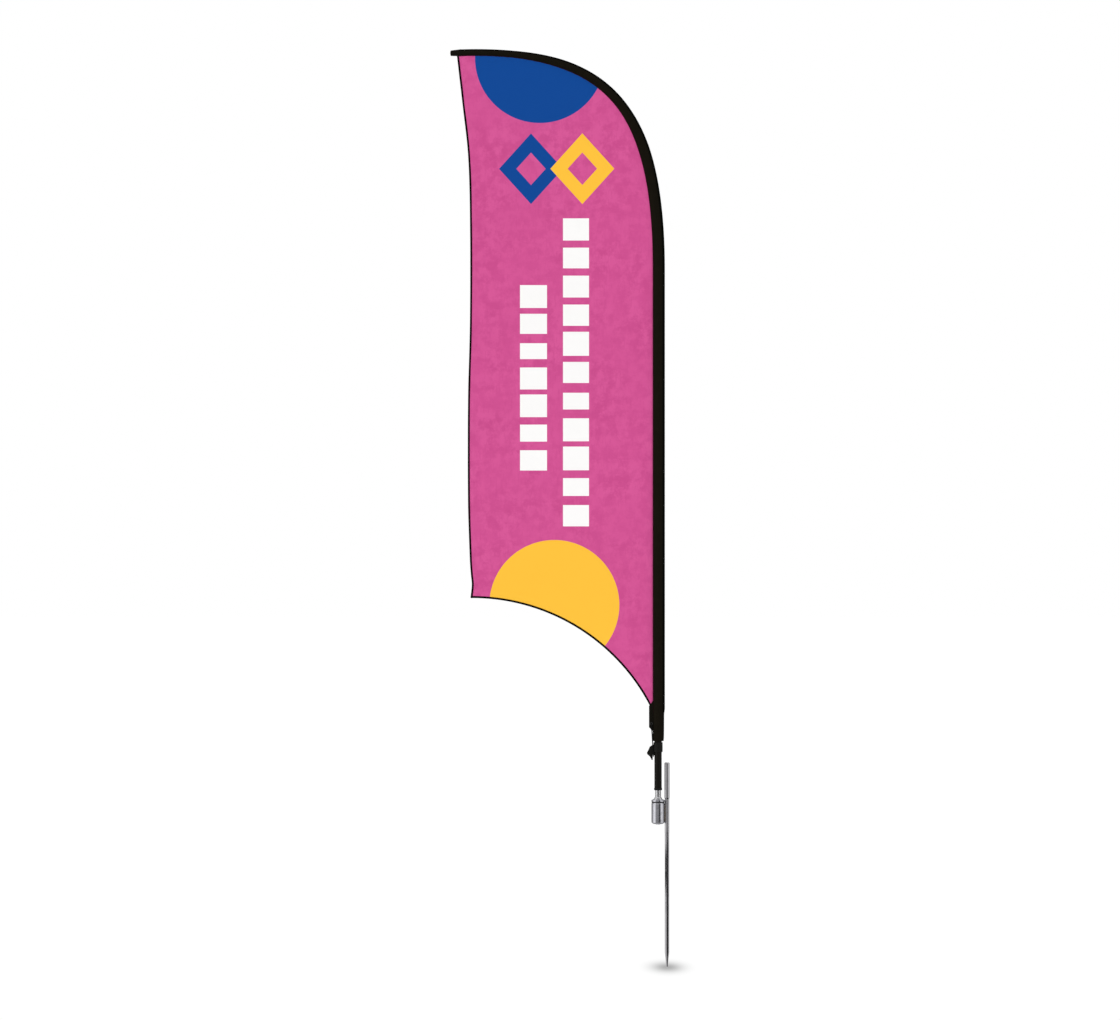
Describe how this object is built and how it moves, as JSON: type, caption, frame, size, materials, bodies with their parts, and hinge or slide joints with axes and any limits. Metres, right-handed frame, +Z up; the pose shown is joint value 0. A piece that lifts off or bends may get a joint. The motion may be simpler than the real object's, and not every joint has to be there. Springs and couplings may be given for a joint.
{
  "type": "feather flag",
  "caption": "Feather flag on a plug-together pole with a bent tip, turning on a bearing housing welded to a ground spike, kept taut by an elastic loop and hook.",
  "frame": {"origin": "on the ground spike's axis at the ground line, where its neck steps down to the shank that goes into the ground", "axes": "+Z up along the spike, -X the way the flag flies from its pole, +Y across the flag, from its front face to its back"},
  "size_m": [0.6593, 0.04, 2.7534],
  "materials": {
    "spike_steel": "satin",
    "housing_steel": "polished",
    "spindle_steel": "satin",
    "weld": "satin",
    "spacer_steel": "satin",
    "bearing_steel": "polished",
    "cage_steel": "satin",
    "seal_rubber": "matte",
    "pole_black": "satin",
    "pole_fibre": "satin",
    "ferrule_metal": "satin",
    "moulded_black": "satin",
    "sleeve_fabric": "matte",
    "webbing": "matte",
    "panel_fabric": "matte",
    "hem_fabric": "matte",
    "elastic_cord": "matte",
    "eyelet_metal": "satin"
  },
  "bodies": {
    "ground_spike": {"spike_rod": "spike_steel", "housing_tube": "housing_steel", "housing_cap": "housing_steel", "housing_plug": "housing_steel", "housing_seal": "seal_rubber", "housing_weld_beads": "weld", "outer_race_spacer": "spacer_steel", "lower_bearing_outer_race": "bearing_steel", "lower_bearing_shields": "seal_rubber", "upper_bearing_outer_race": "bearing_steel", "upper_bearing_shields": "seal_rubber"},
    "lower_cage": {"lower_bearing_cage": "cage_steel", "lower_bearing_balls": "bearing_steel"},
    "upper_cage": {"upper_bearing_cage": "cage_steel", "upper_bearing_balls": "bearing_steel"},
    "spindle": {"spindle": "spindle_steel", "spindle_circlip": "spacer_steel", "spindle_washer": "spacer_steel", "inner_race_spacer": "spacer_steel", "lower_bearing_inner_race": "bearing_steel", "upper_bearing_inner_race": "bearing_steel"},
    "pole": {"pole_base_tube": "pole_black", "pole_mid_tube": "pole_black", "pole_tip_rod": "pole_fibre", "pole_tip_cap": "moulded_black", "pole_foot_rim": "ferrule_metal", "base_tube_ferrule": "ferrule_metal", "mid_tube_ferrule": "ferrule_metal", "base_tube_stop": "moulded_black", "mid_tube_stop": "moulded_black", "flag_sleeve": "sleeve_fabric", "sleeve_end_patch": "webbing", "flag_panel": "panel_fabric", "fly_hem": "hem_fabric", "bottom_hem": "hem_fabric", "tension_tab": "webbing", "tab_eyelet": "eyelet_metal", "elastic_loop": "elastic_cord", "loop_crimp": "eyelet_metal"},
    "tension_hook": {"tension_hook": "moulded_black"}
  },
  "joints": [
    {"name": "spindle_spin", "type": "hinge", "parent": "ground_spike", "child": "spindle", "pos_m": [-0.0268, 0, 0.102], "axis": [0, 0, 1], "continuous": true},
    {"name": "lower_cage_spin", "type": "hinge", "parent": "ground_spike", "child": "lower_cage", "pos_m": [-0.0268, 0, 0.043], "axis": [0, 0, 1], "continuous": true},
    {"name": "upper_cage_spin", "type": "hinge", "parent": "ground_spike", "child": "upper_cage", "pos_m": [-0.0268, 0, 0.083], "axis": [0, 0, 1], "continuous": true},
    {"name": "pole_lift", "type": "slide", "parent": "spindle", "child": "pole", "axis": [0, 0, 1], "range_m": [0, 0.15]},
    {"name": "hook_slide", "type": "slide", "parent": "pole", "child": "tension_hook", "axis": [0, 0, -1], "range_m": [0, 0.007], "deforming": ["elastic_loop"]}
  ],
  "couplings": [
    {"joint": "lower_cage_spin", "follows": "spindle_spin", "ratio": 0.4085},
    {"joint": "upper_cage_spin", "follows": "spindle_spin", "ratio": 0.4085}
  ]
}
